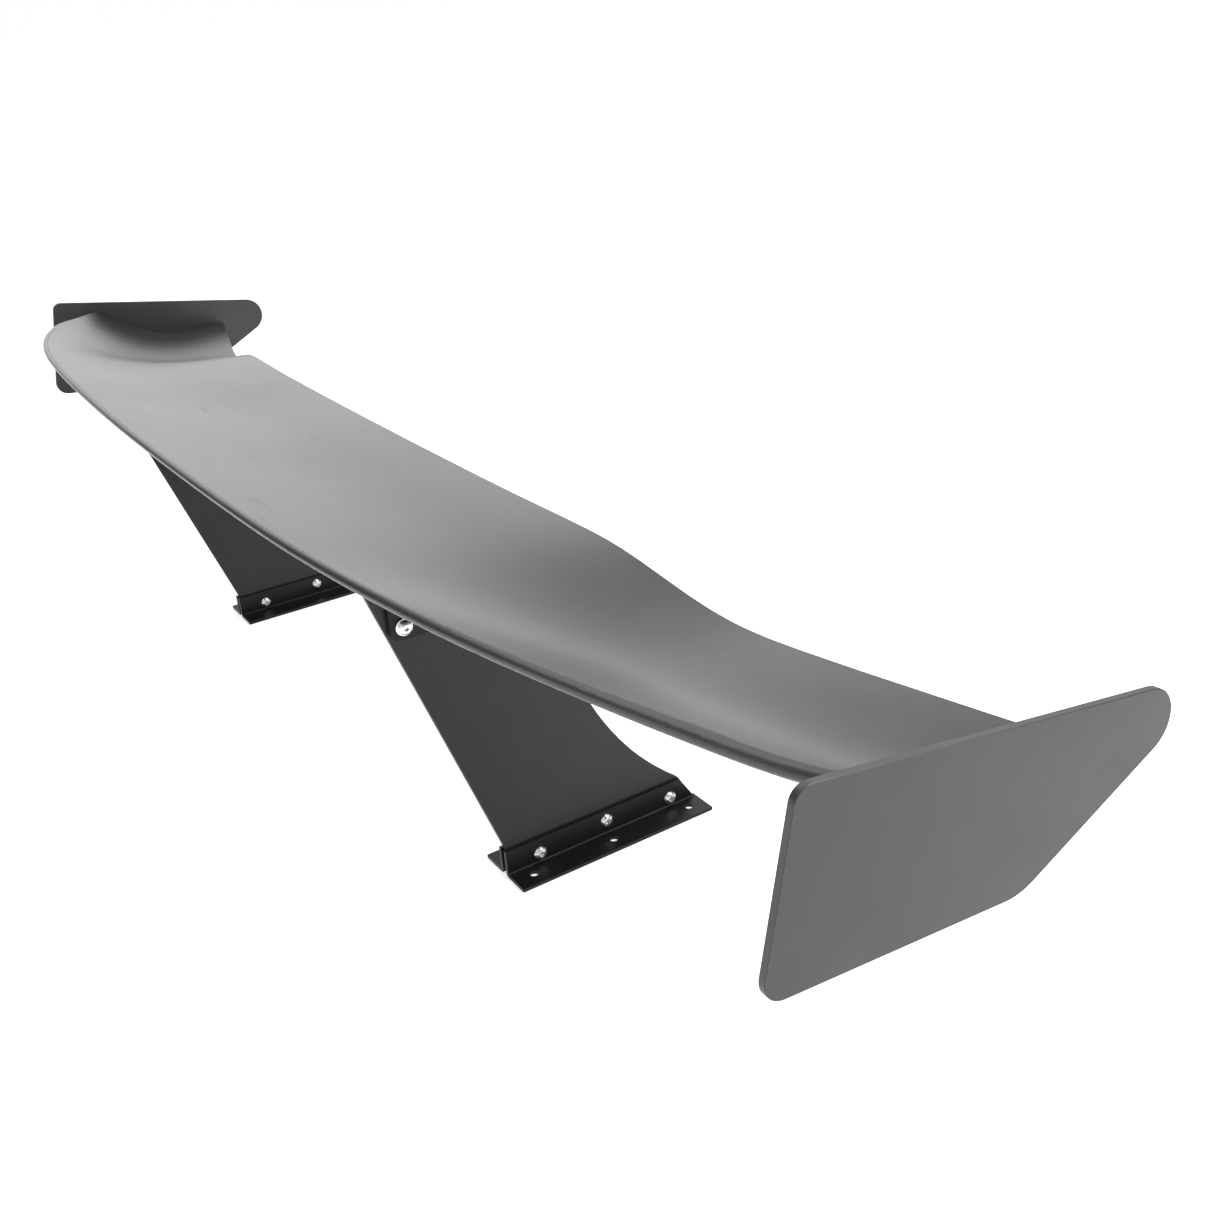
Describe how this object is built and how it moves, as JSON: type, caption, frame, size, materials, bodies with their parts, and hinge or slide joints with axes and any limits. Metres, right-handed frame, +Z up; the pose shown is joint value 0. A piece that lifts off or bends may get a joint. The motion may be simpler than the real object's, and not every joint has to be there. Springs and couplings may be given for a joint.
{
  "type": "racing rear wing",
  "caption": "Gull-shaped rear wing on two plate legs with folded foot brackets, flat endplates and a bolted pivot for setting the blade's angle.",
  "frame": {"origin": "middle of the overall box, on the plane of the foot flanges' undersides", "axes": "+X to the car's left along the span, +Y to the rear of the car, +Z up"},
  "size_m": [1.48, 0.3737, 0.3401],
  "materials": {
    "blade_plastic": "satin black moulded plastic skin",
    "core_plastic": "plain black moulded rib and insert block",
    "endplate_coat": "satin black powder coat on sheet aluminium",
    "leg_coat": "satin black powder coat on sheet aluminium",
    "bracket_coat": "satin black powder coat on folded aluminium",
    "pivot_steel": "plain stainless steel",
    "foot_steel": "plain stainless steel",
    "screw_steel": "black oxide screw"
  },
  "bodies": {
    "stand": {"leg_left": "leg_coat", "leg_right": "leg_coat", "bracket_left_outer": "bracket_coat", "bracket_left_inner": "bracket_coat", "bracket_right_outer": "bracket_coat", "bracket_right_inner": "bracket_coat", "foot_bolts": "foot_steel", "foot_washers": "foot_steel", "foot_nuts": "foot_steel", "pivot_bolts": "pivot_steel", "pivot_washers": "pivot_steel", "pivot_nuts": "pivot_steel"},
    "wing": {"lug_left": "bracket_coat", "lug_right": "bracket_coat", "lug_screws": "screw_steel", "adjust_bolts": "pivot_steel", "adjust_washers": "pivot_steel", "adjust_nuts": "pivot_steel", "blade_top_skin": "blade_plastic", "blade_lower_skin": "blade_plastic", "mount_block_left": "core_plastic", "mount_block_right": "core_plastic", "centre_rib": "core_plastic", "mid_rib_left": "core_plastic", "mid_rib_right": "core_plastic", "tip_rib_left": "core_plastic", "tip_rib_right": "core_plastic", "tip_clip_left": "bracket_coat", "tip_clip_right": "bracket_coat", "clip_rib_screws": "screw_steel", "clip_plate_screws": "screw_steel", "endplate_left": "endplate_coat", "endplate_right": "endplate_coat"}
  },
  "joints": [
    {"name": "wing_angle", "type": "hinge", "parent": "stand", "child": "wing", "pos_m": [0, -0.0924, 0.243], "axis": [1, 0, 0], "range_deg": [0, 12]}
  ]
}
